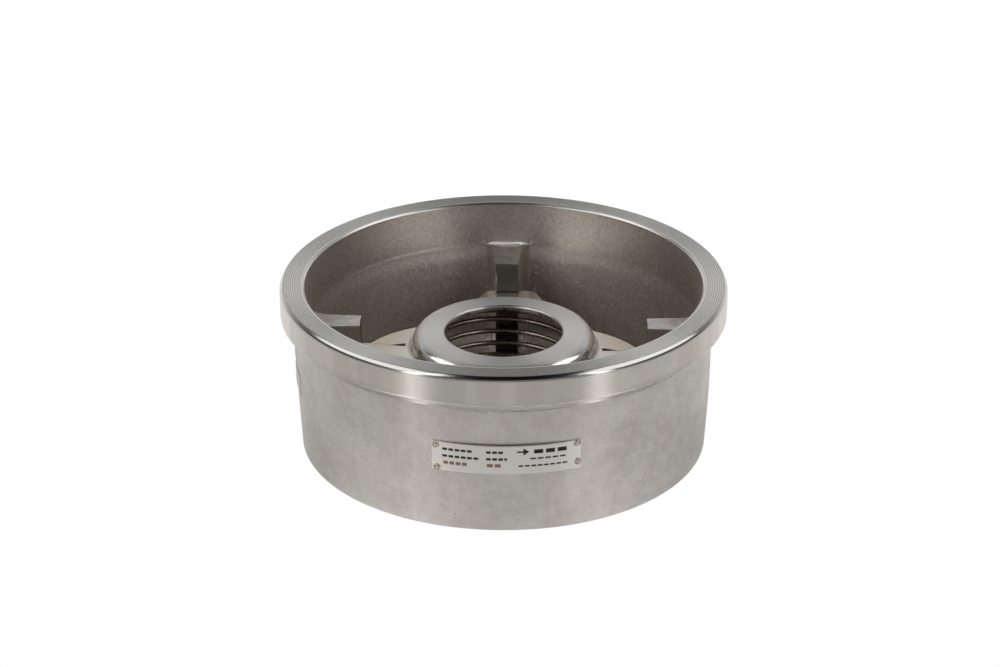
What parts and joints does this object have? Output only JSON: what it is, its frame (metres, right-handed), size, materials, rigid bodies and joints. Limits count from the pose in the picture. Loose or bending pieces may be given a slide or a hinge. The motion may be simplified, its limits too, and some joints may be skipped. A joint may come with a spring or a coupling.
{
  "type": "wafer check valve",
  "caption": "Spring-loaded disc check valve in wafer form: a short flangeless cast ring with guide ribs, a metal seat, a lifting disc, a closing spring and a pressed retainer.",
  "frame": {"origin": "centre of the inlet face, on the valve's axis", "axes": "+Z along the valve's axis in the direction of flow, from the inlet face to the outlet face; the guide ribs lie on +X, +Y, -X and -Y; -Y is the side with the nameplate"},
  "size_m": [0.156, 0.156, 0.06],
  "materials": {
    "cast_stainless": "blasted casting with turned faces",
    "machined_stainless": "turned and lapped",
    "spring_wire": "drawn wire",
    "pressed_stainless": "smooth pressed sheet",
    "plate_stainless": "matte sheet with engraved rules",
    "rivet_steel": "plain, slightly stained"
  },
  "bodies": {
    "housing": {"valve_body": "cast_stainless", "spring_retainer": "pressed_stainless", "spring": "spring_wire", "nameplate": "plate_stainless", "nameplate_rivet_top_left": "rivet_steel", "nameplate_rivet_top_right": "rivet_steel", "nameplate_rivet_bottom_left": "rivet_steel", "nameplate_rivet_bottom_right": "rivet_steel"},
    "disc": {"valve_disc": "machined_stainless"}
  },
  "joints": [
    {"name": "disc_lift", "type": "slide", "parent": "housing", "child": "disc", "axis": [0, 0, 1], "range_m": [0, 0.016], "stiffness_N_per_m": 600, "springref_m": -0.01, "deforming": ["spring"]}
  ]
}
